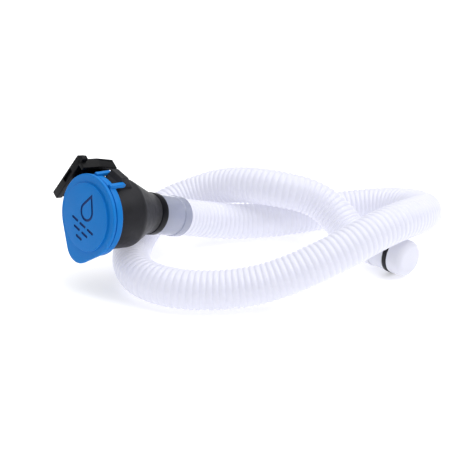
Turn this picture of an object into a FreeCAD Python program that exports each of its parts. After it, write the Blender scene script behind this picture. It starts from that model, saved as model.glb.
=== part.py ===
"""Hose kit: a capped filler neck on a corrugated hose, with a push-on end cap at the hose's far end.

Millimetres, +Z up. The kit lies on the plane Z = 0, and its box is centred on X = Y = 0.
The hose's route is chosen first. Its first run sets the spout's axis, and its last run sets the outlet's axis.
"""
import FreeCAD, Part
import math
import os

os.makedirs("parts", exist_ok=True)
V = FreeCAD.Vector

# Hose
HOSE_OD = 28.5
HOSE_WALL = 1.3
HOSE_ROUTE = [                      # corner points of the hose's centreline, spout to outlet
    (-68.1, 4.5, 38.8), (-47.6, 29, 25.8), (-16.1, 43.7, 14.3), (14.9, 50.2, 14.25), (45.9, 63.2, 14.25),
    (76.9, 73.7, 14.25), (105.9, 71.2, 16.5), (126.9, 53.2, 23), (133.4, 28.2, 31), (124.9, 3.2, 39),
    (107.9, -18.8, 44.3), (85.9, -38.8, 43.3), (61.9, -54.8, 36.5), (34.9, -65.8, 27), (4.9, -71.8, 18),
    (-28.1, -73.3, 14.25), (-59.1, -68.8, 14.25), (-82.1, -51.3, 14.25), (-90.1, -21.8, 14.25), (-89.6, 8.2, 14.3),
    (-83.6, 36.2, 17), (-70.1, 59.2, 22.5), (-48.1, 70.2, 28.5), (-23.1, 65.7, 38.5), (0.9, 51.7, 44.3),
    (25.9, 41.7, 44), (46.9, 41.2, 37.3), (63.9, 33.7, 28), (77.2, 16.5, 14.4), (94.7, -1.6, 14.4),
]
ARC_SHARE = 0.45                    # share of the shorter run that each arc takes at a corner

# Filler neck: a straight head, then a cone that turns into a narrow spout
HEAD_YAW = 44.0                     # degrees from +X to the head's axis, which points from the mouth inwards
HEAD_PITCH = 12.0                   # degrees that the head's axis dips
HEAD_LENGTH = 34.0                  # cap face to the knee
HEAD_DROP = 1.2                     # how far the head's axis passes below the knee
SPOUT_LENGTH = 30.5                 # knee to spout end
HEAD_R = 25.2
HEAD_WALL = 2.5
LIP_CHAMFER = 1.2
HEAD_END = 33.0                     # where the cone starts, from the cap face
CONE_END = 18.0                     # where the cone ends, from the knee
SPOUT_BORE_R = HOSE_OD / 2 - 1.35
SPOUT_R = SPOUT_BORE_R + 2.5
CONE_END_R = SPOUT_R + 0.8
SPOUT_RIM_R = SPOUT_R + 0.4
SPOUT_RIM_LENGTH = 6.5
FUNNEL_R = SPOUT_BORE_R - 2.3       # narrowest radius of the way through
FUNNEL_END = 12.0                   # where the inner funnel ends, from the knee

# Cap
CAP_SKIRT_GAP = 1.1                 # radial gap from the skirt to the head
CAP_SKIRT_WALL = 2.5
CAP_SKIRT_R = HEAD_R + CAP_SKIRT_GAP + CAP_SKIRT_WALL
CAP_WAIST_R = CAP_SKIRT_R - 0.9     # between the plate and the skirt
CAP_R = CAP_SKIRT_R + 0.7
CAP_PLATE = 2.6
CAP_DISC_R = CAP_R - 5.4
CAP_DISC_HEIGHT = 1.6
CAP_DISC_SHIFT = 0.9                # raised disc's centre, towards 6 o'clock
CAP_WAIST_WIDTH = 1.2
CAP_DEPTH = 9.0                     # face to skirt rim
TAB_CLOCK = 195.0                   # clock angle of the lift tab, degrees from 12 o'clock towards 3 o'clock
TAB_HALF_ANGLE = 48.0               # from the tab's axis to where each side leaves the round plate
TAB_CORNER_FILLET = 14.0
GASKET_THICK = 1.7
GASKET_WIDTH = 3.7
GASKET_GAP = 0.3                    # gasket to the neck's lip, cap closed
KEEPER_WALL = 1.5                   # ring that keeps the gasket in place
MARK_DEPTH = 0.45
MARK_LINE = 1.8
MARK_ROWS = (                       # each row's height, and its dashes' ends
    (-6.5, ((-12.0, -6.5), (-2.75, 2.75), (6.5, 12.0))),
    (-11.5, ((-7.5, -2.0), (2.0, 7.5))),
    (-16.5, ((-2.75, 2.75),)),
)

# Hinge
HINGE_CLOCK = 15.0
PIN_R = 0.8
PIN_FIT = 0.05                      # radial running clearance in the neck's lug
PIN_FROM_FACE = 15.5
PIN_FROM_AXIS = CAP_SKIRT_R
ARM_SPACING = 16.5
ARM_THICK = 3.0
ARM_END_R = PIN_R + 0.8
LUG_SIDE_GAP = 0.35
LUG_TOP = 4.4                       # pin's axis to the lug's outer face
LUG_FRONT = 2.2                     # pin's axis to the lug's front face, where it stands clear of the head
LUG_BACK = 5.0

# Mounting bracket on the head's upper left side
BRACKET_CLOCK = -55.0
BRACKET_START = 5.0                 # near end, from the cap face
BRACKET_LENGTH = 32.0
BRACKET_LOW = 25.0                  # centre line to the lower end
BRACKET_HIGH = 15.5                 # centre line to the plate's upper edge, near end and middle
BRACKET_HIGH_BACK = 13.2
BRACKET_LOW_BACK = 16.0
BRACKET_INNER = HEAD_R + 10.3       # head axis to the plate's inner face
BRACKET_PLATE = 3.0
BRACKET_BAR = 6.2                   # thickness of the bar across the near end
BRACKET_BAR_LENGTH = 5.0
BRACKET_BAR_HIGH = 19.0             # centre line to the bar's upper end
BRACKET_CHAMFER = 3.0
BRACKET_RAIL = 3.0                  # thickness of the flange along the upper edge
BRACKET_RAIL_REACH = 5.0            # how far the flange reaches from the plate towards the head
BRACKET_RECESS_WIDTH = 12.0         # shallow recess in the bar's front
BRACKET_RECESS_SHIFT = -2.5
BRACKET_RECESS_DEPTH = 2.0
BRACKET_RECESS_WALL = 1.4
FOOT_WIDTH = 12.0
FOOT_START = 11.0
FOOT_LENGTH = 18.0

# Coupler between the spout and the hose
COUPLER_OD = HOSE_OD + 1.7
COUPLER_LENGTH = 29.0               # spout end to coupler end
COUPLER_BORE_R = SPOUT_BORE_R - 2.5
COUPLER_TAIL = 16.0
SPOUT_BORE_DEPTH = COUPLER_TAIL + 1.0
COUPLER_TAIL_GAP = 0.15             # radial, tail to spout bore
COUPLER_GROOVE = 19.0               # groove's place from the spout end
COUPLER_GROOVE_WIDTH = 1.2
COUPLER_GROOVE_DEPTH = 0.35
COUPLER_BEAD = 0.35                 # how far the end bead stands proud
SOCKET_GAP = 0.04                   # radial, hose to socket
HOSE_START = 10.0                   # spout end to hose end
ORING_R = 0.9
ORING_BACK = 8.0                    # O-ring's place behind the spout end
ORING_BORE_GAP = 0.05

# Outlet at the far end
COLLAR_R = HOSE_OD / 2 - 0.75
COLLAR_LENGTH = 14.0
TAIL_LENGTH = 13.0
OUTLET_BORE_R = COLLAR_R - 3.0
NOSE_R = COLLAR_R - 0.9
NOSE_LENGTH = 9.0
SEAL_R = COLLAR_R + 0.45
SEAL_WIDTH = 3.4
END_CAP_R = COLLAR_R
END_CAP_LENGTH = 12.5
END_CAP_ROUND = 4.5
END_CAP_WALL = 2.0
END_CAP_GAP = 0.3                  # radial, nose to cup
END_CAP_LIFT = 0.3                  # seal face to cup rim


def axis_direction(yaw, pitch):
    """Unit vector at a yaw from +X, dipping by a pitch, both in degrees."""
    y, p = math.radians(yaw), math.radians(pitch)
    return V(math.cos(y) * math.cos(p), math.sin(y) * math.cos(p), -math.sin(p))


def frame_on(origin, axis):
    """Placement whose local Z is axis. Seen along the axis, local Y is 12 o'clock and local X is 9 o'clock."""
    three = axis.cross(V(0, 0, 1))
    three.normalize()
    twelve = three.cross(axis)
    return FreeCAD.Placement(origin, FreeCAD.Rotation(three * -1, twelve, axis, "ZXY"))


def placed(shape, frame):
    out = shape.copy()
    out.Placement = frame.multiply(out.Placement)
    return out


def clock(angle, radius, z=0.0):
    """Local point at a clock angle and radius."""
    a = math.radians(angle)
    return V(-math.sin(a) * radius, math.cos(a) * radius, z)


def turned(points):
    """Solid of revolution about local Z from (radius, z) points."""
    wire = Part.makePolygon([V(r, 0, z) for r, z in points + points[:1]])
    return Part.Face(wire).revolve(V(0, 0, 0), V(0, 0, 1), 360)


def ring(inner, outer, start, end):
    return turned([(inner, start), (outer, start), (outer, end), (inner, end)])


def disc(radius, start, end):
    return Part.makeCylinder(radius, end - start, V(0, 0, start))


def joined(shapes):
    out = shapes[0]
    for shape in shapes[1:]:
        out = out.fuse(shape)
    return out.removeSplitter()


def circle_edges(shape, radius, z):
    """Circular edges of a turned solid with this radius and height."""
    found = []
    for edge in shape.Edges:
        if isinstance(edge.Curve, Part.Circle) and abs(edge.Curve.Radius - radius) < 1e-4:
            if abs(edge.Curve.Center.z - z) < 1e-4:
                found.append(edge)
    return found


# Places that follow from the route
route = [V(*p) for p in HOSE_ROUTE]
spout_axis = (route[1] - route[0]).normalize()
spout_end = route[0] - spout_axis * HOSE_START
knee = spout_end - spout_axis * SPOUT_LENGTH
head_axis = axis_direction(HEAD_YAW, HEAD_PITCH)
head_up = head_axis.cross(V(0, 0, 1)).normalize().cross(head_axis)
cap_face = knee - head_axis * HEAD_LENGTH - head_up * HEAD_DROP
outlet_axis = (route[-1] - route[-2]).normalize()
HEAD = frame_on(cap_face, head_axis)
KNEE = frame_on(knee, spout_axis)
SPOUT = frame_on(spout_end, spout_axis)
OUTLET = frame_on(route[-1], outlet_axis)

lip = CAP_PLATE + GASKET_THICK + GASKET_GAP
skirt_bore = HEAD_R + CAP_SKIRT_GAP
lug_width = ARM_SPACING - ARM_THICK - 2 * LUG_SIDE_GAP


def hinge_frame():
    """Local frame of the hinge: Z is the pin's axis, X points outwards from the head, Y towards the neck's end."""
    out = clock(HINGE_CLOCK, 1)
    pin = V(0, 0, 1).cross(out) * -1
    centre = clock(HINGE_CLOCK, PIN_FROM_AXIS, PIN_FROM_FACE)
    return FreeCAD.Placement(centre, FreeCAD.Rotation(out, V(0, 0, 1), pin, "ZXY"))


HINGE = hinge_frame()


def hinge_slab(outline, end_radius, start, end):
    """Slab across the pin's axis: the outline's polygon and a round end about the pin."""
    wire = Part.makePolygon([V(x, y, start) for x, y in outline + outline[:1]])
    plate = Part.Face(wire).extrude(V(0, 0, end - start))
    return plate.fuse(disc(end_radius, start, end))


def make_cap():
    """Lid with a teardrop plate, a raised disc, a waisted skirt and two hinge arms."""
    plate = disc(CAP_R, 0, CAP_PLATE)
    plate = plate.fuse(make_tab()).removeSplitter()
    plate = plate.makeFillet(0.8, [e for e in plate.Edges if abs(e.BoundBox.ZMax) < 1e-6])
    raised = disc(CAP_DISC_R, -CAP_DISC_HEIGHT, CAP_PLATE / 2)
    raised = raised.makeFillet(0.4, circle_edges(raised, CAP_DISC_R, -CAP_DISC_HEIGHT))
    raised.translate(clock(180, CAP_DISC_SHIFT))
    waist = ring(skirt_bore, CAP_WAIST_R, CAP_PLATE / 2, CAP_PLATE + CAP_WAIST_WIDTH + 1)
    skirt = ring(skirt_bore, CAP_SKIRT_R, CAP_PLATE + CAP_WAIST_WIDTH, CAP_DEPTH)
    skirt = skirt.makeFillet(0.7, circle_edges(skirt, CAP_SKIRT_R, CAP_DEPTH)
                             + circle_edges(skirt, CAP_SKIRT_R, CAP_PLATE + CAP_WAIST_WIDTH))
    keeper_r = skirt_bore - GASKET_WIDTH
    keeper = ring(keeper_r - KEEPER_WALL, keeper_r, CAP_PLATE / 2, CAP_PLATE + GASKET_THICK / 2)
    body = joined([plate, raised, waist, skirt, keeper])
    for side in (-1, 1):
        body = body.fuse(placed(make_arm(side), HINGE))
    body = body.removeSplitter()
    return body.cut(make_mark()).cut(placed(disc(PIN_R, -ARM_SPACING, ARM_SPACING), HINGE))


def make_tab():
    """Rounded corner of the plate, between two sides that are tangent to its circle."""
    reach = CAP_R / math.cos(math.radians(TAB_HALF_ANGLE))
    corners = [V(0, 0, 0), clock(TAB_CLOCK - TAB_HALF_ANGLE, CAP_R), clock(TAB_CLOCK, reach),
               clock(TAB_CLOCK + TAB_HALF_ANGLE, CAP_R)]
    tab = Part.Face(Part.makePolygon(corners + corners[:1])).extrude(V(0, 0, CAP_PLATE))
    tip = [e for e in tab.Edges if max(v.Point.distanceToLine(corners[2], V(0, 0, 1)) for v in e.Vertexes) < 1e-6]
    return tab.makeFillet(TAB_CORNER_FILLET, tip)


def make_arm(side):
    """One hinge arm, from inside the skirt back to the pin."""
    root_y = CAP_PLATE + CAP_WAIST_WIDTH - PIN_FROM_FACE
    rim_y = CAP_DEPTH - PIN_FROM_FACE
    outside = ARM_SPACING / 2 + ARM_THICK / 2
    low = math.sqrt(CAP_SKIRT_R ** 2 - outside ** 2) - 0.5 - PIN_FROM_AXIS
    outline = [(low, root_y), (low, rim_y), (-ARM_END_R, rim_y + 1.5), (-ARM_END_R, 0), (ARM_END_R, 0),
               (ARM_END_R * 0.45, root_y)]
    start = side * ARM_SPACING / 2 - ARM_THICK / 2
    return hinge_slab(outline, ARM_END_R, start, start + ARM_THICK)


def bar_between(a, b):
    """Straight stroke of the engraved mark, with round ends."""
    run = V(*b) - V(*a)
    box = Part.makeBox(run.Length, MARK_LINE, 2.0, V(0, -MARK_LINE / 2, 0))
    box.rotate(V(0, 0, 0), V(0, 0, 1), math.degrees(math.atan2(run.y, run.x)))
    box.translate(V(*a))
    ends = [Part.makeCylinder(MARK_LINE / 2, 2.0, V(*p)) for p in (a, b)]
    return box.fuse(ends[0]).fuse(ends[1])


def make_mark():
    """Engraved sign on the lid: a water drop over rows of short dashes that narrow towards the tab."""
    drop_r, reach, centre_y = 7.0, 14.0, 4.5
    inner_share = (drop_r - MARK_LINE) / drop_r
    outer = drop_shape(centre_y, drop_r, reach)
    inner = drop_shape(centre_y, drop_r * inner_share, reach * inner_share)
    strokes = [outer.cut(inner)]
    for row, ends in MARK_ROWS:
        for start, end in ends:
            strokes.append(bar_between((start, row, 0), (end, row, 0)))
    mark = Part.makeCompound(strokes)
    mark.rotate(V(0, 0, 0), V(0, 0, 1), TAB_CLOCK - 180)
    mark.translate(clock(180, CAP_DISC_SHIFT) + V(0, 0, MARK_DEPTH - CAP_DISC_HEIGHT - 2.0))
    return mark


def drop_shape(centre_y, radius, reach):
    """Water drop about (0, centre_y): a round below, and a point that is reach above the centre."""
    lean = math.asin(radius / reach)
    x, y = radius * math.cos(lean), centre_y + radius * math.sin(lean)
    tip = V(0, centre_y + reach, 0)
    arc = Part.Arc(V(x, y, 0), V(0, centre_y - radius, 0), V(-x, y, 0)).toShape()
    up = Part.LineSegment(V(-x, y, 0), tip).toShape()
    down = Part.LineSegment(tip, V(x, y, 0)).toShape()
    return Part.Face(Part.Wire([arc, up, down])).extrude(V(0, 0, 2.0))


def make_gasket():
    return ring(skirt_bore - GASKET_WIDTH, skirt_bore, CAP_PLATE, CAP_PLATE + GASKET_THICK)


def make_pin():
    half = (ARM_SPACING + ARM_THICK) / 2
    pin = disc(PIN_R, -half, half)
    return pin.makeChamfer(0.3, circle_edges(pin, PIN_R, -half) + circle_edges(pin, PIN_R, half))


def section(frame, radius, z):
    """Circle of a loft, in the row frame."""
    circle = Part.Wire(Part.makeCircle(radius, V(0, 0, z)))
    circle.Placement = frame
    return circle


def make_neck():
    """Hollow head, cone and spout in one wall, with the hinge lug and the spout's rim."""
    outer = Part.makeLoft([section(HEAD, HEAD_R - LIP_CHAMFER, lip), section(HEAD, HEAD_R, lip + LIP_CHAMFER),
                           section(HEAD, HEAD_R, HEAD_END),
                           section(KNEE, CONE_END_R, CONE_END), section(SPOUT, SPOUT_R, 0)], True, True)
    bore_r = HEAD_R - HEAD_WALL
    inner = Part.makeLoft([section(HEAD, bore_r, lip - 1), section(HEAD, bore_r, HEAD_END - 1),
                           section(KNEE, FUNNEL_R, FUNNEL_END), section(SPOUT, FUNNEL_R, 1)], True, True)
    rim = disc(SPOUT_RIM_R, -SPOUT_RIM_LENGTH, 0)
    rim = rim.makeFillet(0.35, circle_edges(rim, SPOUT_RIM_R, 0) + circle_edges(rim, SPOUT_RIM_R, -SPOUT_RIM_LENGTH))
    base = HEAD_R - HEAD_WALL / 2 - PIN_FROM_AXIS
    outline = [(base, -LUG_FRONT - 2.0), (HEAD_R - PIN_FROM_AXIS + 1.2, -LUG_FRONT - 2.0),
               (0.5, -LUG_FRONT), (LUG_TOP, -LUG_FRONT + 1.4), (LUG_TOP, LUG_BACK), (base, LUG_BACK + 7.0)]
    wire = Part.makePolygon([V(x, y, -lug_width / 2) for x, y in outline + outline[:1]])
    lug = Part.Face(wire).extrude(V(0, 0, lug_width))
    body = joined([outer, placed(rim, SPOUT), placed(placed(lug, HINGE), HEAD)])
    body = body.cut(inner).cut(placed(disc(SPOUT_BORE_R, -SPOUT_BORE_DEPTH, 1), SPOUT))
    pin_hole = disc(PIN_R + PIN_FIT, -lug_width, lug_width)
    return body.cut(placed(placed(pin_hole, HINGE), HEAD))


def plate_between(corners, thick):
    """Flat plate, its corners given on its inner face, that is thick in local X."""
    return Part.Face(Part.makePolygon(corners + corners[:1])).extrude(V(thick, 0, 0))


def make_bracket():
    """Plate beside the head with a bar across its near end, a flange on its upper edge and a foot on the head.

    Local X points outwards from the head, Y along the plate's width towards 12 o'clock, Z along the head.
    """
    start, end = BRACKET_START, BRACKET_START + BRACKET_LENGTH
    inner, far = BRACKET_INNER, BRACKET_INNER + BRACKET_BAR
    top = [(BRACKET_HIGH, start), (BRACKET_HIGH + 0.3, start + BRACKET_LENGTH / 2), (BRACKET_HIGH_BACK, end)]
    low = [(-BRACKET_LOW_BACK, end), (-BRACKET_LOW, start)]
    plate = plate_between([V(inner, y, z) for y, z in top + low], BRACKET_PLATE)
    profile = [(inner, -BRACKET_LOW), (far, -BRACKET_LOW), (far, BRACKET_BAR_HIGH - BRACKET_CHAMFER),
               (far - BRACKET_CHAMFER, BRACKET_BAR_HIGH), (inner, BRACKET_BAR_HIGH)]
    wire = Part.makePolygon([V(x, y, start) for x, y in profile + profile[:1]])
    bar = Part.Face(wire).extrude(V(0, 0, BRACKET_BAR_LENGTH))
    under = [(y - BRACKET_RAIL, z) for y, z in top[::-1]]
    rail = plate_between([V(inner - BRACKET_RAIL_REACH, y, z) for y, z in top + under],
                         BRACKET_RAIL_REACH + BRACKET_PLATE)
    foot = Part.makeBox(inner + 1 - HEAD_R / 2, FOOT_WIDTH, FOOT_LENGTH,
                        V(HEAD_R / 2, -FOOT_WIDTH / 2, FOOT_START))
    recess = Part.makeBox(BRACKET_BAR - 2 * BRACKET_RECESS_WALL, BRACKET_RECESS_WIDTH, BRACKET_RECESS_DEPTH + 1,
                          V(inner + BRACKET_RECESS_WALL, BRACKET_RECESS_SHIFT - BRACKET_RECESS_WIDTH / 2, start - 1))
    body = joined([plate, bar, rail, foot]).cut(recess)
    body.rotate(V(0, 0, 0), V(0, 0, 1), 90 + BRACKET_CLOCK)
    return body.cut(disc(HEAD_R, 0, HEAD_END))


def make_coupler():
    """Stepped sleeve: its tail is in the spout, and its socket holds the hose."""
    tail_r = SPOUT_BORE_R - COUPLER_TAIL_GAP
    groove_r = SPOUT_BORE_R - ORING_BORE_GAP - 2 * ORING_R
    out_r = COUPLER_OD / 2
    socket_r = HOSE_OD / 2 + SOCKET_GAP
    groove, width, deep = COUPLER_GROOVE, COUPLER_GROOVE_WIDTH, COUPLER_GROOVE_DEPTH
    bead_r = out_r + COUPLER_BEAD
    return turned([
        (COUPLER_BORE_R, -COUPLER_TAIL), (tail_r - 0.6, -COUPLER_TAIL), (tail_r, -COUPLER_TAIL + 1.5),
        (tail_r, -ORING_BACK - ORING_R - 0.1), (groove_r, -ORING_BACK - ORING_R - 0.1),
        (groove_r, -ORING_BACK + ORING_R + 0.1), (tail_r, -ORING_BACK + ORING_R + 0.1), (tail_r, 0),
        (out_r - 0.4, 0), (out_r, 0.4), (out_r, groove), (out_r - deep, groove + width / 3),
        (out_r - deep, groove + width), (bead_r, groove + width + 0.8), (bead_r, COUPLER_LENGTH - 1.0),
        (out_r - 0.4, COUPLER_LENGTH), (socket_r, COUPLER_LENGTH), (socket_r, HOSE_START),
        (COUPLER_BORE_R, HOSE_START)])


def make_coupler_o_ring():
    radius = SPOUT_BORE_R - ORING_BORE_GAP - ORING_R
    return Part.makeTorus(radius, ORING_R, V(0, 0, -ORING_BACK))


def make_hose():
    """Hollow tube along straight runs joined by tangent arcs."""
    edges = []
    radii = []
    last = route[0]
    for before, corner, after in zip(route, route[1:], route[2:]):
        back, on = before - corner, after - corner
        cut = ARC_SHARE * min(back.Length, on.Length)
        back.normalize()
        on.normalize()
        turn = math.pi - back.getAngle(on)
        radius = cut / math.tan(turn / 2)
        middle = (back + on).normalize()
        depth = math.hypot(cut, radius) - radius
        first, second = corner + back * cut, corner + on * cut
        edges.append(Part.LineSegment(last, first).toShape())
        edges.append(Part.Arc(first, corner + middle * depth, second).toShape())
        radii.append(radius)
        last = second
    edges.append(Part.LineSegment(last, route[-1]).toShape())
    path = Part.Wire(edges)
    tubes = []
    for radius in (HOSE_OD / 2, HOSE_OD / 2 - HOSE_WALL):
        mouth = Part.Wire(Part.makeCircle(radius, route[0], spout_axis))
        tubes.append(path.makePipeShell([mouth], True, False))
    hose = tubes[0].cut(tubes[1])
    area = math.pi * ((HOSE_OD / 2) ** 2 - (HOSE_OD / 2 - HOSE_WALL) ** 2)
    print("hose length %.1f  volume over section x length %.4f" % (path.Length, hose.Volume / (area * path.Length)))
    print("bend radii", [round(r) for r in radii])
    return hose


def make_outlet():
    """Barbed tail in the hose, a smooth collar, then the nose that the end cap covers."""
    hose_bore = HOSE_OD / 2 - HOSE_WALL
    barbs = [(OUTLET_BORE_R, -TAIL_LENGTH), (hose_bore - 1.2, -TAIL_LENGTH)]
    pitch = TAIL_LENGTH / 3
    for n in range(3):
        z = -TAIL_LENGTH + n * pitch
        barbs += [(hose_bore, z + pitch * 0.7), (hose_bore - 0.8, z + pitch * 0.7), (hose_bore - 0.8, z + pitch)]
    nose_start = COLLAR_LENGTH
    nose_end = COLLAR_LENGTH + SEAL_WIDTH + NOSE_LENGTH
    return turned(barbs + [(COLLAR_R - 0.5, 0), (COLLAR_R, 0.5), (COLLAR_R, nose_start - 0.4),
                           (COLLAR_R - 0.4, nose_start), (NOSE_R, nose_start), (NOSE_R, nose_end - 0.8),
                           (NOSE_R - 0.8, nose_end), (OUTLET_BORE_R, nose_end)])


def make_seal():
    seal = ring(NOSE_R, SEAL_R, COLLAR_LENGTH, COLLAR_LENGTH + SEAL_WIDTH)
    return seal.makeFillet(0.55, circle_edges(seal, SEAL_R, COLLAR_LENGTH)
                           + circle_edges(seal, SEAL_R, COLLAR_LENGTH + SEAL_WIDTH))


def make_end_cap():
    """Closed cup over the nose, its free end well rounded."""
    start = COLLAR_LENGTH + SEAL_WIDTH + END_CAP_LIFT
    end = start + END_CAP_LENGTH
    cup = disc(END_CAP_R, start, end)
    cup = cup.makeFillet(END_CAP_ROUND, circle_edges(cup, END_CAP_R, end))
    cup = cup.makeFillet(0.4, circle_edges(cup, END_CAP_R, start))
    inside = disc(NOSE_R + END_CAP_GAP, start - 1, end - END_CAP_WALL)
    inside_round = max(END_CAP_ROUND - END_CAP_WALL, 0.5)
    inside = inside.makeFillet(inside_round, circle_edges(inside, NOSE_R + END_CAP_GAP, end - END_CAP_WALL))
    return cup.cut(inside)


NODES = {
    "cap_lid": placed(make_cap(), HEAD),
    "cap_gasket": placed(make_gasket(), HEAD),
    "hinge_pin": placed(placed(make_pin(), HINGE), HEAD),
    "filler_neck": make_neck(),
    "mounting_bracket": placed(make_bracket(), HEAD),
    "hose_coupler": placed(make_coupler(), SPOUT),
    "coupler_o_ring": placed(make_coupler_o_ring(), SPOUT),
    "hose": make_hose(),
    "outlet_spigot": placed(make_outlet(), OUTLET),
    "outlet_seal": placed(make_seal(), OUTLET),
    "end_cap": placed(make_end_cap(), OUTLET),
}

box = FreeCAD.BoundBox()
for name, shape in NODES.items():
    if not shape.isValid() or shape.Volume <= 0:
        raise ValueError("bad solid: " + name)
    shape.exportStep("parts/%s.step" % name)
    box.add(shape.optimalBoundingBox())
    print("%-18s %9.1f mm3  %d solid" % (name, shape.Volume, len(shape.Solids)))
print("box X %.2f..%.2f Y %.2f..%.2f Z %.2f..%.2f" % (box.XMin, box.XMax, box.YMin, box.YMax, box.ZMin, box.ZMax))
pin_centre = HEAD.multVec(HINGE.Base)
pin_axis = HEAD.Rotation.multVec(clock(HINGE_CLOCK, 1)).cross(head_axis)
print("pin", pin_centre, "opening axis", pin_axis)
print("outlet axis", outlet_axis, "head axis", head_axis, "cap face", cap_face, "knee", knee, "spout end", spout_end)
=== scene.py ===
import bmesh
import bpy
import math
from mathutils import Matrix, Vector


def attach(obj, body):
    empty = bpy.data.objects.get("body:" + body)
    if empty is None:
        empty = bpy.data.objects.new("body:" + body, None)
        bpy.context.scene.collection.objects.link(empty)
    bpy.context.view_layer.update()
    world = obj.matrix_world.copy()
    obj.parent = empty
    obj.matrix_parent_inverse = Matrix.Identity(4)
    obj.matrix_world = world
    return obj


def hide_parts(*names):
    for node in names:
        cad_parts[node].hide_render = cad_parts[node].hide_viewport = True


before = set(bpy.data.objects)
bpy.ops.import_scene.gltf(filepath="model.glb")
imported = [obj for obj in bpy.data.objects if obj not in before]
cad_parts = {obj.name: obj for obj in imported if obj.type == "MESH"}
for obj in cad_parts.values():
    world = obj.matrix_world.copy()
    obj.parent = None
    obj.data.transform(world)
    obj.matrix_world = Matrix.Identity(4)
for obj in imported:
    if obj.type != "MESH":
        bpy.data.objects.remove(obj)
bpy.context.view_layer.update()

MM = 0.001
scene = bpy.context.scene

# ---------------------------------------------------------------- camera
cam_data = bpy.data.cameras.new("camera")
cam_data.lens = 85.0
cam_data.sensor_width = 36.0
camera = bpy.data.objects.new("camera", cam_data)
scene.collection.objects.link(camera)
camera.location = (-0.0131, -0.7598, 0.3624)
LOOK_AT = Vector((-0.0131, -0.0198, 0.033))
look = LOOK_AT - camera.location
camera.rotation_euler = look.to_track_quat("-Z", "Y").to_euler()
scene.camera = camera


# ---------------------------------------------------------------- helpers
def V(x, y, z=0.0):
    return Vector((x, y, z))


def new_object(name, mesh, material=None, smooth=30):
    obj = bpy.data.objects.new(name, mesh)
    scene.collection.objects.link(obj)
    if material:
        obj.data.materials.append(material)
    if smooth:
        mesh.shade_smooth()
        mesh.set_sharp_from_angle(angle=math.radians(smooth))
    return obj


def frame_on(origin, axis):
    """Matrix with local Z along axis. Seen along the axis, local Y is 12 o'clock and local X is 9 o'clock."""
    axis = axis.normalized()
    three = axis.cross(V(0, 0, 1)).normalized()
    twelve = three.cross(axis)
    m = Matrix((-three, twelve, axis)).transposed().to_4x4()
    m.translation = origin
    return m


def clock(angle, radius, z=0.0):
    a = math.radians(angle)
    return V(-math.sin(a) * radius, math.cos(a) * radius, z)


def round_corners(points, radii, steps=6, closed=True):
    """Polygon with tangent arcs at its corners. radii is one number, or one for each corner."""
    n = len(points)
    if not hasattr(radii, "__len__"):
        radii = [radii] * n
    out = []
    for i, (p, r) in enumerate(zip(points, radii)):
        if r <= 0 or (not closed and i in (0, n - 1)):
            out.append(tuple(p))
            continue
        p = Vector(p)
        a = Vector(points[i - 1]) - p
        b = Vector(points[(i + 1) % n]) - p
        la, lb = a.length, b.length
        a.normalize()
        b.normalize()
        half = math.acos(max(-1, min(1, a.dot(b)))) / 2
        if half > math.pi / 2 - 0.01:
            out.append(tuple(p))
            continue
        cut = min(r / math.tan(half), 0.48 * la, 0.48 * lb)
        rad = cut * math.tan(half)
        centre = p + (a + b).normalized() * (rad / math.sin(half))
        start, end = p + a * cut - centre, p + b * cut - centre
        ang = math.atan2(start.x * end.y - start.y * end.x, start.dot(end))
        for k in range(steps + 1):
            t = ang * k / steps
            c, s = math.cos(t), math.sin(t)
            out.append((centre.x + start.x * c - start.y * s, centre.y + start.x * s + start.y * c))
    return out


def ring_mesh(name, rings, closed_loop, cap_start=False, cap_end=False):
    """Mesh over a list of rings of points. closed_loop joins the last ring to the first."""
    verts = [tuple(p) for ring in rings for p in ring]
    n = len(rings[0])
    faces = []
    last = len(rings) if closed_loop else len(rings) - 1
    for i in range(last):
        a, b = i * n, ((i + 1) % len(rings)) * n
        for j in range(n):
            k = (j + 1) % n
            faces.append((a + j, a + k, b + k, b + j))
    if cap_start:
        faces.append(tuple(range(n))[::-1])
    if cap_end:
        faces.append(tuple(range((len(rings) - 1) * n, len(rings) * n)))
    mesh = bpy.data.meshes.new(name)
    mesh.from_pydata(verts, [], faces)
    bm = bmesh.new()
    bm.from_mesh(mesh)
    bmesh.ops.recalc_face_normals(bm, faces=bm.faces)
    bm.to_mesh(mesh)
    bm.free()
    mesh.update()
    return mesh


def lathe(name, profile, matrix, material, segments=160, smooth=35, capped=False, closed=True):
    """Turned piece. profile is (radius, z) points in millimetres about the matrix's local Z."""
    rings = []
    for r, z in profile:
        ring = []
        for j in range(segments):
            a = 2 * math.pi * j / segments
            ring.append(matrix @ V(r * math.cos(a) * MM, r * math.sin(a) * MM, z * MM))
        rings.append(ring)
    return new_object(name, ring_mesh(name, rings, closed, capped, capped), material, smooth)


def slab_mesh(name, outline, start, end, matrix, bevel, steps=3):
    """Closed plate: a 2-D outline in millimetres, extruded in local Z, with its long edges eased."""
    pts = [Vector(p) for p in outline]
    area = sum(pts[i - 1].x * pts[i].y - pts[i].x * pts[i - 1].y for i in range(len(pts)))
    if area < 0:
        pts = pts[::-1]

    def inset(d):
        out = []
        for i, p in enumerate(pts):
            a = p - pts[i - 1]
            b = pts[(i + 1) % len(pts)] - p
            na = Vector((-a.y, a.x)).normalized() if a.length > 1e-9 else Vector((0, 0))
            nb = Vector((-b.y, b.x)).normalized() if b.length > 1e-9 else na
            n = na + nb
            n = n.normalized() if n.length > 1e-6 else nb
            scale = 1 / max(0.5, n.dot(nb))
            out.append(p + n * d * scale)
        return out

    levels = []
    for k in range(steps + 1):
        t = math.pi / 2 * k / steps
        levels.append((bevel * (1 - math.sin(t)), start + bevel * (1 - math.cos(t))))
    upper = [(d, end - (z - start)) for d, z in levels[::-1]]
    rings = [[matrix @ V(p.x * MM, p.y * MM, z * MM) for p in inset(d)] for d, z in levels + upper]
    return ring_mesh(name, rings, False, True, True)


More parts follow.
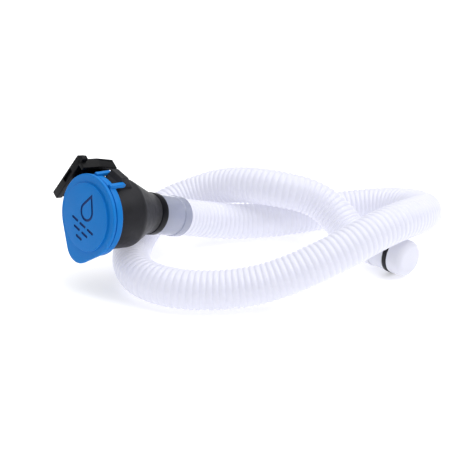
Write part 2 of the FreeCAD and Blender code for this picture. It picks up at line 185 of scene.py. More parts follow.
def join_meshes(name, meshes, material, smooth=35):
    """One object from several meshes, which are used up."""
    bm = bmesh.new()
    for mesh in meshes:
        bm.from_mesh(mesh)
    out = bpy.data.meshes.new(name)
    bm.to_mesh(out)
    bm.free()
    for mesh in meshes:
        bpy.data.meshes.remove(mesh)
    return new_object(name, out, material, smooth)


# ---------------------------------------------------------------- materials
PAINTED_GLOW_COLOR = (0.93, 0.93, 1.0)         # painted glow: even light painted into the thin white plastic as emission, in place of light passing through it from its far side


def material(name, color, rough, bump=0.0, bump_scale=900.0, vary=0.03, metallic=0.0, coat=0.0, sss=0.0,
             sss_radius=(0.004, 0.004, 0.005), spec=0.5, rough_vary=0.06, scratches=0.0, coat_rough=0.1,
             glow=0.0):
    """Moulded-part material: slight colour mottling, uneven gloss, and a fine moulded grain."""
    mat = bpy.data.materials.new(name)
    mat.use_nodes = True
    nodes, links = mat.node_tree.nodes, mat.node_tree.links
    bsdf = nodes["Principled BSDF"]
    coord = nodes.new("ShaderNodeTexCoord")
    big = nodes.new("ShaderNodeTexNoise")
    big.inputs["Scale"].default_value = 60.0
    big.inputs["Detail"].default_value = 5.0
    links.new(coord.outputs["Object"], big.inputs["Vector"])
    mix = nodes.new("ShaderNodeValToRGB")
    dark = [c * (1 - vary) for c in color]
    light = [min(1.0, c * (1 + vary)) for c in color]
    mix.color_ramp.elements[0].position = 0.3
    mix.color_ramp.elements[1].position = 0.7
    mix.color_ramp.elements[0].color = (*dark, 1)
    mix.color_ramp.elements[1].color = (*light, 1)
    links.new(big.outputs["Fac"], mix.inputs["Fac"])
    links.new(mix.outputs["Color"], bsdf.inputs["Base Color"])
    fine = nodes.new("ShaderNodeTexNoise")
    fine.inputs["Scale"].default_value = 260.0
    fine.inputs["Detail"].default_value = 6.0
    links.new(coord.outputs["Object"], fine.inputs["Vector"])
    ramp = nodes.new("ShaderNodeMapRange")
    ramp.inputs["To Min"].default_value = max(0.02, rough - rough_vary)
    ramp.inputs["To Max"].default_value = min(1.0, rough + rough_vary)
    links.new(fine.outputs["Fac"], ramp.inputs["Value"])
    links.new(ramp.outputs["Result"], bsdf.inputs["Roughness"])
    last = None
    if bump > 0:
        grain = nodes.new("ShaderNodeTexNoise")
        grain.inputs["Scale"].default_value = bump_scale
        grain.inputs["Detail"].default_value = 3.0
        links.new(coord.outputs["Object"], grain.inputs["Vector"])
        node = nodes.new("ShaderNodeBump")
        node.inputs["Strength"].default_value = bump
        node.inputs["Distance"].default_value = 0.0003
        links.new(grain.outputs["Fac"], node.inputs["Height"])
        last = node
    if scratches > 0:
        stretch = nodes.new("ShaderNodeMapping")
        stretch.inputs["Scale"].default_value = (30.0, 900.0, 250.0)
        stretch.inputs["Rotation"].default_value = (0.4, 0.7, 0.9)
        links.new(coord.outputs["Object"], stretch.inputs["Vector"])
        lines = nodes.new("ShaderNodeTexNoise")
        lines.inputs["Scale"].default_value = 1.0
        lines.inputs["Detail"].default_value = 4.0
        links.new(stretch.outputs["Vector"], lines.inputs["Vector"])
        node = nodes.new("ShaderNodeBump")
        node.inputs["Strength"].default_value = scratches
        node.inputs["Distance"].default_value = 0.0001
        links.new(lines.outputs["Fac"], node.inputs["Height"])
        if last:
            links.new(last.outputs["Normal"], node.inputs["Normal"])
        last = node
    if last:
        links.new(last.outputs["Normal"], bsdf.inputs["Normal"])
    bsdf.inputs["Metallic"].default_value = metallic
    bsdf.inputs["Specular IOR Level"].default_value = spec
    bsdf.inputs["Coat Weight"].default_value = coat
    bsdf.inputs["Coat Roughness"].default_value = coat_rough
    bsdf.inputs["Subsurface Weight"].default_value = sss
    bsdf.inputs["Subsurface Radius"].default_value = sss_radius
    bsdf.inputs["Subsurface Scale"].default_value = 1.0
    # Painted glow: where glow is set, emission lightens the surface evenly and flattens its shading.
    bsdf.inputs["Emission Color"].default_value = (*PAINTED_GLOW_COLOR, 1)
    bsdf.inputs["Emission Strength"].default_value = glow
    return mat


# Hose, outlet and end cap carry a painted glow: emission that stands in for light passing through the thin
# white plastic.
M_HOSE = material("hose_white", (0.425, 0.43, 0.50), 0.34, bump=0.05, bump_scale=500, vary=0.012, coat=0.1,
                  sss=0.3, sss_radius=(0.003, 0.003, 0.004), spec=0.35, glow=0.36)
M_BLUE = material("cap_blue", (0.003, 0.180, 0.567), 0.44, bump=0.10, bump_scale=1400, vary=0.03, coat=0.0,
                  sss=0.05, sss_radius=(0.0008, 0.001, 0.002), spec=0.16)
# Painted shade: dark blue for the cut faces of the sunk mark, standing in for the shadow inside the engraved
# lines.
M_BLUE_PAINTED_SHADE = material("cap_mark_painted_shade", (0.002, 0.030, 0.150), 0.5, bump=0.1, bump_scale=1400, vary=0.05,
                       spec=0.2)
M_NECK = material("neck_black", (0.018, 0.018, 0.021), 0.40, bump=0.30, bump_scale=420, vary=0.25,
                  spec=0.14, rough_vary=0.14, scratches=0.5)
# Rim band: the neck's own black plastic, made darker than the neck as painted shade.
M_RIM_PAINTED_SHADE = material("neck_rim_black_painted_shade", (0.002, 0.002, 0.004), 0.30, bump=0.04, bump_scale=700, vary=0.1,
                 spec=0.12)
M_BRACKET = material("bracket_black", (0.005, 0.005, 0.006), 0.42, bump=0.12, bump_scale=900, vary=0.12,
                     spec=0.12, scratches=0.2)
M_PIN = material("pin_steel", (0.12, 0.12, 0.13), 0.36, bump=0.03, bump_scale=1500, vary=0.04, metallic=1.0)
M_COUPLER = material("coupler_grey", (0.29, 0.31, 0.40), 0.18, bump=0.03, bump_scale=500, vary=0.04, coat=0.4,
                     sss=0.3, sss_radius=(0.003, 0.003, 0.004), spec=0.5, coat_rough=0.06)
M_OUTLET = material("outlet_white", (0.62, 0.63, 0.70), 0.32, bump=0.04, bump_scale=700, vary=0.015,
                    coat=0.15, sss=0.4, sss_radius=(0.003, 0.003, 0.004), spec=0.35, glow=0.10)
M_END = material("end_cap_white", (0.58, 0.585, 0.66), 0.34, bump=0.04, bump_scale=700, vary=0.015, coat=0.1,
                 sss=0.4, sss_radius=(0.003, 0.003, 0.004), spec=0.3, glow=0.16)
M_RUBBER = material("seal_rubber", (0.006, 0.006, 0.009), 0.42, bump=0.08, bump_scale=900, vary=0.1, spec=0.3)

# ---------------------------------------------------------------- places shared with the CAD model
HOSE_OD = 28.5
HOSE_START = 10.0                   # spout end to hose end
SPOUT_LENGTH = 30.5                 # knee to spout end
HEAD_YAW, HEAD_PITCH = 44.0, 12.0   # degrees from +X, and degrees that the head's axis dips
HEAD_LENGTH, HEAD_DROP = 34.0, 1.2  # cap face to the knee, and how far the axis passes below it
HOSE_ROUTE = [                      # corner points of the hose's centreline, spout to outlet
    (-68.1, 4.5, 38.8), (-47.6, 29, 25.8), (-16.1, 45, 15.4), (14.9, 51, 14.7),
    (45.9, 63.2, 14.25), (76.9, 73.7, 15.6), (105.9, 71.2, 19.5), (126.9, 53.2, 25.5),
    (133.4, 28.2, 32), (124.9, 3.2, 39), (107.9, -18.8, 44.3), (85.9, -38.8, 43.3),
    (61.9, -54.8, 36.5), (34.9, -65.8, 27), (4.9, -71.8, 18), (-28.1, -73.3, 14.25),
    (-59.1, -68.8, 14.25), (-82.1, -51.3, 14.25), (-90.1, -21.8, 14.25), (-89.6, 8.2, 14.3),
    (-83.6, 36.2, 17), (-70.1, 59.2, 22.5), (-48.1, 70.2, 28.5), (-23.1, 65.7, 38.5),
    (0.9, 51.7, 44.3), (25.9, 41.7, 44), (46.9, 41.2, 38.5), (63.9, 33.7, 29),
    (77.2, 16.5, 14.4), (94.7, -1.6, 14.4),
]
route = [Vector(p) * MM for p in HOSE_ROUTE]
spout_axis = (route[1] - route[0]).normalized()
spout_end = route[0] - spout_axis * HOSE_START * MM
knee = spout_end - spout_axis * SPOUT_LENGTH * MM
yaw, pitch = math.radians(HEAD_YAW), math.radians(HEAD_PITCH)
head_axis = V(math.cos(yaw) * math.cos(pitch), math.sin(yaw) * math.cos(pitch), -math.sin(pitch))
head_up = head_axis.cross(V(0, 0, 1)).normalized().cross(head_axis)
cap_face = knee - head_axis * HEAD_LENGTH * MM - head_up * HEAD_DROP * MM
outlet_axis = (route[-1] - route[-2]).normalized()
HEAD = frame_on(cap_face, head_axis)
KNEE = frame_on(knee, spout_axis)
SPOUT = frame_on(spout_end, spout_axis)
OUTLET = frame_on(route[-1], outlet_axis)

# ---------------------------------------------------------------- hose
# The hose's centreline as one smooth curve over the route's control points.
curve = bpy.data.curves.new("hose_line", "CURVE")
curve.dimensions = "3D"
line = curve.splines.new("NURBS")
line.points.add(len(route) - 1)
for point, at in zip(line.points, route):
    point.co = (*at, 1.0)
line.order_u = 3
line.use_endpoint_u = True
curve.resolution_u = 16
guide = bpy.data.objects.new("hose_line", curve)
scene.collection.objects.link(guide)
bpy.context.view_layer.update()
sampled = bpy.data.meshes.new_from_object(guide)
centre = [v.co.copy() for v in sampled.vertices]
bpy.data.objects.remove(guide)
bpy.data.meshes.remove(sampled)

RIB_PITCH = 4.3 * MM
RIB_DEPTH = 0.82 * MM
HOSE_SEGMENTS = 72
WALL = 0.9 * MM
# One rib: round crest, narrow round valley (share of the pitch, share of the depth below the crest).
RIB = [(0.00, 0.0), (0.10, 0.03), (0.20, 0.13), (0.30, 0.40), (0.38, 0.74), (0.46, 0.97),
       (0.54, 0.97), (0.62, 0.74), (0.70, 0.40), (0.80, 0.13), (0.90, 0.03)]


def along(points):
    """Cumulative length along points."""
    total = [0.0]
    for a, b in zip(points, points[1:]):
        total.append(total[-1] + (b - a).length)
    return total


def make_hose():
    """Corrugated tube along the centreline, inside and out, and its length."""
    run = along(centre)
    length = run[-1]
    ribs = round(length / RIB_PITCH)
    pitch_now = length / ribs
    stations = [(k + s) * pitch_now for k in range(ribs) for s, d in RIB] + [length]
    depths = [d for k in range(ribs) for s, d in RIB] + [0.0]
    # Frames carried along the line without twist
    tangents = []
    for i in range(len(centre)):
        a, b = centre[max(0, i - 1)], centre[min(len(centre) - 1, i + 1)]
        tangents.append((b - a).normalized())
    normal = tangents[0].orthogonal().normalized()
    normals = [normal]
    for a, b in zip(tangents, tangents[1:]):
        normal = a.rotation_difference(b) @ normal
        normal = (normal - b * normal.dot(b)).normalized()
        normals.append(normal)
    outer, inner = [], []
    i = 0
    for s, depth in zip(stations, depths):
        while i < len(run) - 2 and run[i + 1] < s:
            i += 1
        t = (s - run[i]) / max(1e-9, run[i + 1] - run[i])
        c = centre[i].lerp(centre[i + 1], t)
        tangent = tangents[i].lerp(tangents[i + 1], t).normalized()
        n = normals[i].lerp(normals[i + 1], t)
        n = (n - tangent * n.dot(tangent)).normalized()
        b = tangent.cross(n)
        r = HOSE_OD / 2 * MM - RIB_DEPTH * depth
        for rings, radius in ((outer, r), (inner, r - WALL)):
            rings.append([c + (n * math.cos(2 * math.pi * j / HOSE_SEGMENTS)
                               + b * math.sin(2 * math.pi * j / HOSE_SEGMENTS)) * radius
                          for j in range(HOSE_SEGMENTS)])
    mesh = ring_mesh("corrugated_hose", outer + inner[::-1], True)
    return new_object("corrugated_hose", mesh, M_HOSE, 0), length


hose, hose_length = make_hose()
hose.data.shade_smooth()
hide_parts("hose")
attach(hose, "kit")

# ---------------------------------------------------------------- cap
CAP_R, CAP_PLATE, SKIRT_R, CAP_DEPTH = 29.5, 2.6, 28.8, 9.0
TAB, TAB_HALF, FILLET = 195.0, 48.0, 14.0
DISC_R, DISC_HEIGHT = 24.1, 1.6
DISC_SHIFT = clock(180, 0.9)
WAIST_R, WAIST_WIDTH = 27.9, 1.2
HEAD_R = 25.2
SKIRT_BORE = HEAD_R + 1.1
GASKET_WIDTH, KEEPER_WALL = 3.7, 1.5
DROP_CENTRE, DROP_R, DROP_REACH = 4.5, 7.0, 14.0
MARK_DEPTH, MARK_LINE = 0.45, 1.8
MARK_ROWS = (                       # each row's height, and its dashes' ends
    (-6.5, ((-12.0, -6.5), (-2.75, 2.75), (6.5, 12.0))),
    (-11.5, ((-7.5, -2.0), (2.0, 7.5))),
    (-16.5, ((-2.75, 2.75),)),
)


def teardrop(angle):
    """Radius of the lid's outline at a clock angle: a circle with one rounded corner."""
    phi = abs((angle - TAB + 180) % 360 - 180)
    if phi >= TAB_HALF:
        return CAP_R
    half = math.radians(TAB_HALF)
    turn = TAB_HALF - math.degrees(math.atan((CAP_R - FILLET) * math.tan(half) / CAP_R))
    if phi > turn:
        return CAP_R / math.cos(math.radians(TAB_HALF - phi))
    d = (CAP_R - FILLET) / math.cos(half)
    p = math.radians(phi)
    return d * math.cos(p) + math.sqrt(FILLET ** 2 - (d * math.sin(p)) ** 2)


def outline_ring(inset, z, count=360):
    """The lid's outline moved inwards by inset, in the head's frame."""
    raw = [clock(360 * j / count, teardrop(360 * j / count)) for j in range(count)]
    out = []
    for j, p in enumerate(raw):
        t = (raw[(j + 1) % count] - raw[j - 1]).normalized()
        n = V(-t.y, t.x)
        if n.dot(p) > 0:
            n = -n
        out.append(HEAD @ ((p + n * inset + V(0, 0, z)) * MM))
    return out


def circle_ring(radius, z, shift=V(0, 0, 0), count=360):
    return [HEAD @ ((clock(360 * j / count, radius, z) + shift) * MM) for j in range(count)]


def lid_skin():
    """Plate with a raised disc, a waist, the skirt and the ring that keeps the gasket."""
    rings = []
    face = [(0.5, -DISC_HEIGHT), (DISC_R, -DISC_HEIGHT), (DISC_R, 0.0), (DISC_R + 0.8, 0.0)]
    for r, z in round_corners(face, [0, 0.3, 0.1, 0], 4, closed=False):
        rings.append(circle_ring(r, z, DISC_SHIFT))
    edge = [(1.4, 0.0), (0.0, 0.0), (0.0, CAP_PLATE), (2.2, CAP_PLATE)]
    for inset, z in round_corners(edge, [0, 1.0, 0.5, 0], 6, closed=False):
        rings.append(outline_ring(inset, z))
    waist = CAP_PLATE + WAIST_WIDTH
    keeper = SKIRT_BORE - GASKET_WIDTH
    inside = keeper - KEEPER_WALL
    behind = [(WAIST_R, CAP_PLATE), (WAIST_R, waist), (SKIRT_R, waist), (SKIRT_R, CAP_DEPTH),
              (SKIRT_BORE, CAP_DEPTH), (SKIRT_BORE, CAP_PLATE), (keeper, CAP_PLATE), (keeper, 3.45),
              (inside, 3.45), (inside, 2.2), (0.5, 2.2)]
    for r, z in round_corners(behind, [0.2, 0.2, 0.7, 0.7, 0.3, 0.2, 0.1, 0.2, 0.2, 0.3, 0], 4, closed=False):
        rings.append(circle_ring(r, z))
    return ring_mesh("lid", rings, False, True, True)


def drop_outline(centre_y, radius, reach, steps=28):
    """Water drop about (0, centre_y): a round below, and a point that is reach above the centre."""
    lean = math.asin(radius / reach)
    pts = [(0.0, centre_y + reach)]
    for k in range(steps + 1):
        a = lean - (math.pi + 2 * lean) * k / steps
        pts.append((radius * math.cos(a), centre_y + radius * math.sin(a)))
    return pts


def dash_outline(start, end, row):
    """Short stroke with round ends."""
    r = MARK_LINE / 2
    pts = []
    for x, first in ((end, -90), (start, 90)):
        for k in range(9):
            a = math.radians(first + 22.5 * k)
            pts.append((x + r * math.cos(a), row + r * math.sin(a)))
    return pts


def mark_cutter():
    """Tool that sinks the drop and the dashes into the raised disc."""
    frame_now = HEAD @ Matrix.Translation(DISC_SHIFT * MM) @ Matrix.Rotation(math.radians(TAB - 180), 4, "Z")
    top, bottom = -DISC_HEIGHT - 0.6, MARK_DEPTH - DISC_HEIGHT
    share = (DROP_R - MARK_LINE) / DROP_R
    big = drop_outline(DROP_CENTRE, DROP_R, DROP_REACH)
    small = drop_outline(DROP_CENTRE, DROP_R * share, DROP_REACH * share)
    rings = []
    for outline, z in ((big, top), (big, bottom), (small, bottom), (small, top)):
        rings.append([frame_now @ (V(x, y, z) * MM) for x, y in outline])
    meshes = [ring_mesh("drop", rings, True)]
    for row, dashes in MARK_ROWS:
        for start, end in dashes:
            meshes.append(slab_mesh("dash", dash_outline(start, end, row), top, bottom, frame_now, 0.0, 1))
    # The tool carries the painted shade material, which passes to the cut faces of the mark.
    return join_meshes("mark_tool", meshes, M_BLUE_PAINTED_SHADE, 0)


def sunk(body, tool):
    """Mesh of body with tool cut out of it. The cut faces keep the tool's material."""
    cut = body.modifiers.new("mark", "BOOLEAN")
    cut.operation = "DIFFERENCE"
    cut.solver = "EXACT"
    cut.material_mode = "TRANSFER"
    cut.object = tool
    bpy.context.view_layer.update()
    mesh = bpy.data.meshes.new_from_object(body.evaluated_get(bpy.context.evaluated_depsgraph_get()))
    for obj in (body, tool):
        bpy.data.objects.remove(obj)
    return mesh


# Local Z lies along the hinge pin, X points outwards from the head and Y towards the neck's end.
HINGE_CLOCK, PIN_FROM_FACE, PIN_FROM_AXIS = 15.0, 15.5, 28.8
hinge_out = clock(HINGE_CLOCK, 1)
HINGE = (HEAD @ Matrix.Translation(clock(HINGE_CLOCK, PIN_FROM_AXIS, PIN_FROM_FACE) * MM)
         @ Matrix((hinge_out, V(0, 0, 1), hinge_out.cross(V(0, 0, 1)))).transposed().to_4x4())
ARM_SPACING, ARM_THICK, ARM_END_R, LUG_SIDE_GAP = 16.5, 3.0, 1.6, 0.35
LUG_TOP, LUG_BACK = 4.4, 5.0


def arm_outline():
    """Side view of a hinge arm: from inside the skirt back to a round end about the pin."""
    outside = ARM_SPACING / 2 + ARM_THICK / 2
    low = math.sqrt(SKIRT_R ** 2 - outside ** 2) - 0.5 - PIN_FROM_AXIS
    root, rim = CAP_PLATE + WAIST_WIDTH - PIN_FROM_FACE, CAP_DEPTH - PIN_FROM_FACE
    sides = [(-ARM_END_R, 0), (-ARM_END_R, rim + 1.5), (low, rim), (low, root),
             (ARM_END_R * 0.45, root), (ARM_END_R, 0)]
    flat = round_corners(sides, [0, 1.0, 0.2, 0.2, 0.6, 0], 4, closed=False)
    end = [(ARM_END_R * math.cos(math.radians(15 * k)), ARM_END_R * math.sin(math.radians(15 * k)))
           for k in range(1, 12)]
    return flat + end


plate = new_object("lid_plate", lid_skin(), M_BLUE, 0)
meshes = [sunk(plate, mark_cutter())]
for side in (-1, 1):
    start = side * ARM_SPACING / 2 - ARM_THICK / 2
    meshes.append(slab_mesh("arm", arm_outline(), start, start + ARM_THICK, HINGE, 0.4))
lid = join_meshes("blue_lid", meshes, M_BLUE, 40)
# Second slot: the painted shade on the mark's cut faces.
lid.data.materials.append(M_BLUE_PAINTED_SHADE)
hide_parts("cap_lid")
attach(lid, "lid")


# ---------------------------------------------------------------- neck
def skin_rings(knots, count=160):
    """Rings of a skin with lengthwise lines through circles given as (matrix, radius, z, softness)."""
    lines = []
    for j in range(count):
        a = 360.0 * j / count
        pts = [(m @ (clock(a, r, z) * MM)) for m, r, z, c in knots]
        soft = [c * MM for m, r, z, c in knots]
        line3 = [pts[0]]
        for k in range(1, len(pts) - 1):
            p, q, s = pts[k - 1], pts[k], pts[k + 1]
            cut = min(soft[k], 0.48 * (q - p).length, 0.48 * (s - q).length)
            b0, b2 = q + (p - q).normalized() * cut, q + (s - q).normalized() * cut
            for i in range(7):
                t = i / 6
                line3.append(b0 * (1 - t) ** 2 + q * 2 * t * (1 - t) + b2 * t ** 2)
        line3.append(pts[-1])
        lines.append(line3)
    return [[line3[i] for line3 in lines] for i in range(len(lines[0]))]


RIM_R, RIM_LENGTH, RIM_BACK = 15.8, 6.5, 15.2
SPOUT_R, SPOUT_BORE_R, SPOUT_BORE_DEPTH, FUNNEL_R = 15.4, 12.9, 17.0, 10.6
CONE_END_R, CONE_END, FUNNEL_END = 16.2, 18.0, 12.0
HEAD_END, LIP, LIP_CHAMFER, HEAD_WALL = 33.0, 4.6, 1.2, 2.5
bore = HEAD_R - HEAD_WALL
outer_knots = [(HEAD, HEAD_R - LIP_CHAMFER, LIP, 0), (HEAD, HEAD_R, LIP + LIP_CHAMFER, 0.8),
               (HEAD, HEAD_R, HEAD_END, 2.4), (KNEE, CONE_END_R, CONE_END, 3.0),
               (SPOUT, SPOUT_R, -RIM_LENGTH - 0.2, 0.3), (SPOUT, SPOUT_R, -0.3, 0.1),
               (SPOUT, SPOUT_R - 0.4, 0.0, 0)]
inner_knots = [(SPOUT, SPOUT_BORE_R, 0.0, 0), (SPOUT, SPOUT_BORE_R, -SPOUT_BORE_DEPTH, 0.3),
               (SPOUT, FUNNEL_R, -SPOUT_BORE_DEPTH - 0.1, 0.3), (KNEE, FUNNEL_R, FUNNEL_END, 3.0),
               (HEAD, bore, HEAD_END - 1.0, 3.0), (HEAD, bore, LIP + 0.4, 0.3), (HEAD, bore + 0.4, LIP, 0)]
meshes = [ring_mesh("neck_skin", skin_rings(outer_knots) + skin_rings(inner_knots), True)]
lug_half = (ARM_SPACING - ARM_THICK) / 2 - LUG_SIDE_GAP
base = HEAD_R - 1.25 - PIN_FROM_AXIS
lug = round_corners([(base, -5.2), (HEAD_R - PIN_FROM_AXIS + 1.4, -5.0), (0.5, -2.4), (LUG_TOP, -0.8),
                     (LUG_TOP, LUG_BACK), (base, 12.0)], [0, 0.8, 1.2, 0.7, 1.2, 0], 5)
meshes.append(slab_mesh("lug", lug, -lug_half, lug_half, HINGE, 0.4))
neck = join_meshes("neck_body", meshes, M_NECK, 40)
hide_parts("filler_neck")
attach(neck, "kit")
# The rim band takes the darker, painted-shade copy of the neck's black.
rim_profile = round_corners([(RIM_BACK, -RIM_LENGTH), (RIM_R, -RIM_LENGTH), (RIM_R, 0.0), (RIM_BACK, 0.0)],
                            [0, 0.4, 0.4, 0], 4)
rim = lathe("neck_rim", rim_profile, SPOUT, M_RIM_PAINTED_SHADE)
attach(rim, "kit")

# ---------------------------------------------------------------- bracket
# Local X points outwards from the head, Y up along the plate and Z back from the cap.
BRACKET_CLOCK = -55.0
BRACKET = HEAD @ Matrix.Rotation(math.radians(90 + BRACKET_CLOCK), 4, "Z")
B_START, B_END = 5.0, 37.0
B_INNER, B_PLATE, B_BAR, B_BAR_LENGTH = HEAD_R + 10.3, 3.0, 6.2, 5.0
B_RAIL, B_RAIL_REACH = 3.0, 5.0
B_BAR_LOW, B_BAR_HIGH, B_CHAMFER = -25.0, 19.0, 3.0
B_TOP = [(15.5, B_START), (15.8, 21.0), (13.2, B_END)]
FOOT_HALF, FOOT_START, FOOT_END, FOOT_ROOT = 6.0, 11.0, 29.0, 24.0
RECESS_LOW, RECESS_HIGH, RECESS_DEPTH, RECESS_WALL = -8.5, 3.5, 2.0, 1.4
SIDEWAYS = Matrix(((0, 0, 1, 0), (1, 0, 0, 0), (0, 1, 0, 0), (0, 0, 0, 1)))
far = B_INNER + B_BAR
plate_outline = round_corners([(15.5, B_START + 3.0)] + B_TOP[1:] + [(-16.0, B_END), (-24.0, B_START + 3.0)],
                              [0.8, 12.0, 2.5, 3.0, 0.8], 8)
under = [(y - B_RAIL, z) for y, z in B_TOP[::-1]]
flange_outline = round_corners(B_TOP + under, [0.6, 12.0, 1.2, 0.4, 12.0, 0.4], 6)
bar_outline = round_corners([(B_INNER, B_BAR_LOW), (far, B_BAR_LOW), (far, B_BAR_HIGH - B_CHAMFER),
                             (far - B_CHAMFER, B_BAR_HIGH), (B_INNER, B_BAR_HIGH)],
                            [0.8, 1.0, 1.0, 1.0, 0.8], 4)
foot_outline = round_corners([(FOOT_ROOT, -FOOT_HALF), (B_INNER + 1.0, -FOOT_HALF),
                              (B_INNER + 1.0, FOOT_HALF), (FOOT_ROOT, FOOT_HALF)], 0.4, 3)
bar_mesh = slab_mesh("bar", bar_outline, B_START, B_START + B_BAR_LENGTH, BRACKET, 0.5)
bar = new_object("bar", bar_mesh, M_BRACKET, 0)
hollow = round_corners([(B_INNER + RECESS_WALL, RECESS_LOW), (far - RECESS_WALL, RECESS_LOW),
                        (far - RECESS_WALL, RECESS_HIGH), (B_INNER + RECESS_WALL, RECESS_HIGH)], 0.6, 4)
recess_mesh = slab_mesh("recess", hollow, B_START - 1, B_START + RECESS_DEPTH, BRACKET, 0.0, 1)
recess = new_object("recess", recess_mesh, M_BRACKET, 0)
meshes = [slab_mesh("plate", plate_outline, B_INNER, B_INNER + B_PLATE, BRACKET @ SIDEWAYS, 0.5),
          sunk(bar, recess),
          slab_mesh("flange", flange_outline, B_INNER - B_RAIL_REACH, B_INNER + B_PLATE + 0.02,
                    BRACKET @ SIDEWAYS, 0.5),
          slab_mesh("foot", foot_outline, FOOT_START, FOOT_END, BRACKET, 0.5)]
bracket = join_meshes("bracket_body", meshes, M_BRACKET, 35)
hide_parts("mounting_bracket")
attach(bracket, "kit")

# ---------------------------------------------------------------- coupler
COUPLER_R, COUPLER_BORE_R, COUPLER_LENGTH, COUPLER_TAIL = 15.1, 10.4, 29.0, 16.0
TAIL_R, ORING_FLOOR_R, ORING_START, ORING_END = 12.75, 11.05, -9.0, -7.0
GROOVE_R, BEAD_R, SOCKET_R = 14.75, 15.45, 14.3
coupler_profile = round_corners([
    (COUPLER_BORE_R, -COUPLER_TAIL), (TAIL_R - 0.6, -COUPLER_TAIL), (TAIL_R, 1.5 - COUPLER_TAIL),
    (TAIL_R, ORING_START), (ORING_FLOOR_R, ORING_START), (ORING_FLOOR_R, ORING_END), (TAIL_R, ORING_END),
    (TAIL_R, 0.0), (COUPLER_R - 0.2, 0.05), (COUPLER_R, 0.8), (COUPLER_R, 19.0), (GROOVE_R, 19.4),
    (GROOVE_R, 20.2), (BEAD_R, 21.0), (BEAD_R, COUPLER_LENGTH - 1.0), (14.9, COUPLER_LENGTH),
    (SOCKET_R, COUPLER_LENGTH), (SOCKET_R, HOSE_START), (COUPLER_BORE_R, HOSE_START)],
    [0.2, 0.2, 0.4, 0, 0, 0, 0, 0, 0.3, 0.3, 0.3, 0.2, 0.2, 0.5, 0.8, 0.3, 0.2, 0, 0], 5)
coupler = lathe("grey_coupler", coupler_profile, SPOUT, M_COUPLER, smooth=50)
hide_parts("hose_coupler")
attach(coupler, "kit")

# ---------------------------------------------------------------- outlet
BARB_R, BARB_FOOT_R, OUTLET_BORE_R = 12.9, 12.1, 10.5
COLLAR_R, COLLAR_LENGTH, NOSE_R, NOSE_END = 13.5, 14.0, 12.6, 26.4
SEAL_R, SEAL_WIDTH, CUP_WALL, CUP_LIFT, CUP_END = 13.95, 3.4, 2.0, 0.3, 30.2
spigot_profile = round_corners([
    (OUTLET_BORE_R, -13.0), (11.8, -13.0), (BARB_R, -10.0), (BARB_FOOT_R, -10.0), (BARB_FOOT_R, -8.7),
    (BARB_R, -5.6), (BARB_FOOT_R, -5.6), (BARB_FOOT_R, -4.3), (BARB_R, -1.3), (BARB_FOOT_R, -1.3),
    (BARB_FOOT_R, 0.0), (COLLAR_R - 0.5, 0.0), (COLLAR_R, 0.6), (COLLAR_R, COLLAR_LENGTH - 0.4),
    (COLLAR_R - 0.4, COLLAR_LENGTH), (NOSE_R, COLLAR_LENGTH), (NOSE_R, NOSE_END - 0.8),
    (NOSE_R - 0.8, NOSE_END), (OUTLET_BORE_R, NOSE_END)],
    [0.2, 0.2, 0.1, 0, 0, 0.1, 0, 0, 0.1, 0, 0, 0.3, 0.4, 0.4, 0.2, 0, 0.3, 0.3, 0.2], 4)
spigot = lathe("outlet_body", spigot_profile, OUTLET, M_OUTLET, smooth=50)
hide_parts("outlet_spigot")
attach(spigot, "kit")
seal_end = COLLAR_LENGTH + SEAL_WIDTH
seal_profile = round_corners([(NOSE_R, COLLAR_LENGTH), (SEAL_R, COLLAR_LENGTH), (SEAL_R, seal_end),
                              (NOSE_R, seal_end)], [0, 0.55, 0.55, 0], 5)
seal = lathe("outlet_ring", seal_profile, OUTLET, M_RUBBER)
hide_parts("outlet_seal")
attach(seal, "kit")
cup_start, cup_floor, cup_bore = seal_end + CUP_LIFT, CUP_END - CUP_WALL, NOSE_R + 0.3
cup_profile = round_corners([
    (0.3, CUP_END), (COLLAR_R, CUP_END), (COLLAR_R, cup_start), (cup_bore, cup_start), (cup_bore, cup_floor),
    (0.3, cup_floor)], [0, 4.5, 0.4, 0.2, 2.0, 0], 10, closed=False)
end_cap = lathe("end_cap_cup", cup_profile, OUTLET, M_END, capped=True, closed=False, smooth=50)
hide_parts("end_cap")
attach(end_cap, "outlet_cap")

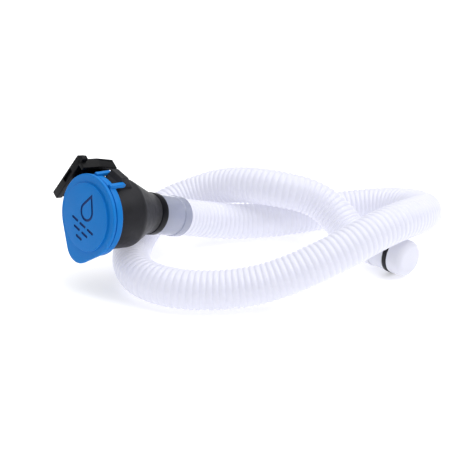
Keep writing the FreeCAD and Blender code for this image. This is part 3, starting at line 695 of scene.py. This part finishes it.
# ---------------------------------------------------------------- carried-over CAD nodes
for node, mat in (("cap_gasket", M_RUBBER), ("hinge_pin", M_PIN), ("coupler_o_ring", M_RUBBER)):
    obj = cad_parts[node]
    obj.data.materials.clear()
    obj.data.materials.append(mat)

# ---------------------------------------------------------------- floor and light
def floor_material(name, color, glow):
    """Matt pale surface with a little light of its own."""
    mat = bpy.data.materials.new(name)
    mat.use_nodes = True
    bsdf = mat.node_tree.nodes["Principled BSDF"]
    bsdf.inputs["Base Color"].default_value = (*color, 1)
    bsdf.inputs["Roughness"].default_value = 0.9
    bsdf.inputs["Specular IOR Level"].default_value = 0.1
    bsdf.inputs["Emission Color"].default_value = (1, 1, 1, 1)
    bsdf.inputs["Emission Strength"].default_value = glow
    return mat


FLOOR_HALF, FLOOR_Z = 4.0, -0.0003
mesh = bpy.data.meshes.new("floor")
corners = [(x * FLOOR_HALF, y * FLOOR_HALF, FLOOR_Z) for x, y in ((-1, -1), (1, -1), (1, 1), (-1, 1))]
mesh.from_pydata(corners, [], [(0, 1, 2, 3)])
floor = new_object("floor", mesh, floor_material("floor_white", (0.93, 0.93, 0.94), 0.32), 0)

world = bpy.data.worlds.new("studio")
scene.world = world
world.use_nodes = True
world.node_tree.nodes["Background"].inputs["Color"].default_value = (0.97, 0.98, 1.0, 1)
world.node_tree.nodes["Background"].inputs["Strength"].default_value = 0.40


def area_light(name, at, size, power):
    """Soft rectangular light that faces the object's middle."""
    data = bpy.data.lights.new(name, "AREA")
    data.shape = "RECTANGLE"
    data.size, data.size_y = size
    data.energy = power
    obj = bpy.data.objects.new(name, data)
    scene.collection.objects.link(obj)
    obj.location = at
    obj.rotation_euler = (LIGHT_TARGET - Vector(at)).to_track_quat("-Z", "Y").to_euler()


LIGHT_TARGET = V(0, 0, 0.03)
area_light("top", (0.2, 0.30, 1.4), (2.2, 1.8), 22)
area_light("left", (-0.9, -0.9, 0.9), (0.9, 0.9), 2)
area_light("right", (0.9, -0.2, 1.0), (0.8, 0.8), 5.5)
scene.view_settings.view_transform = "Standard"
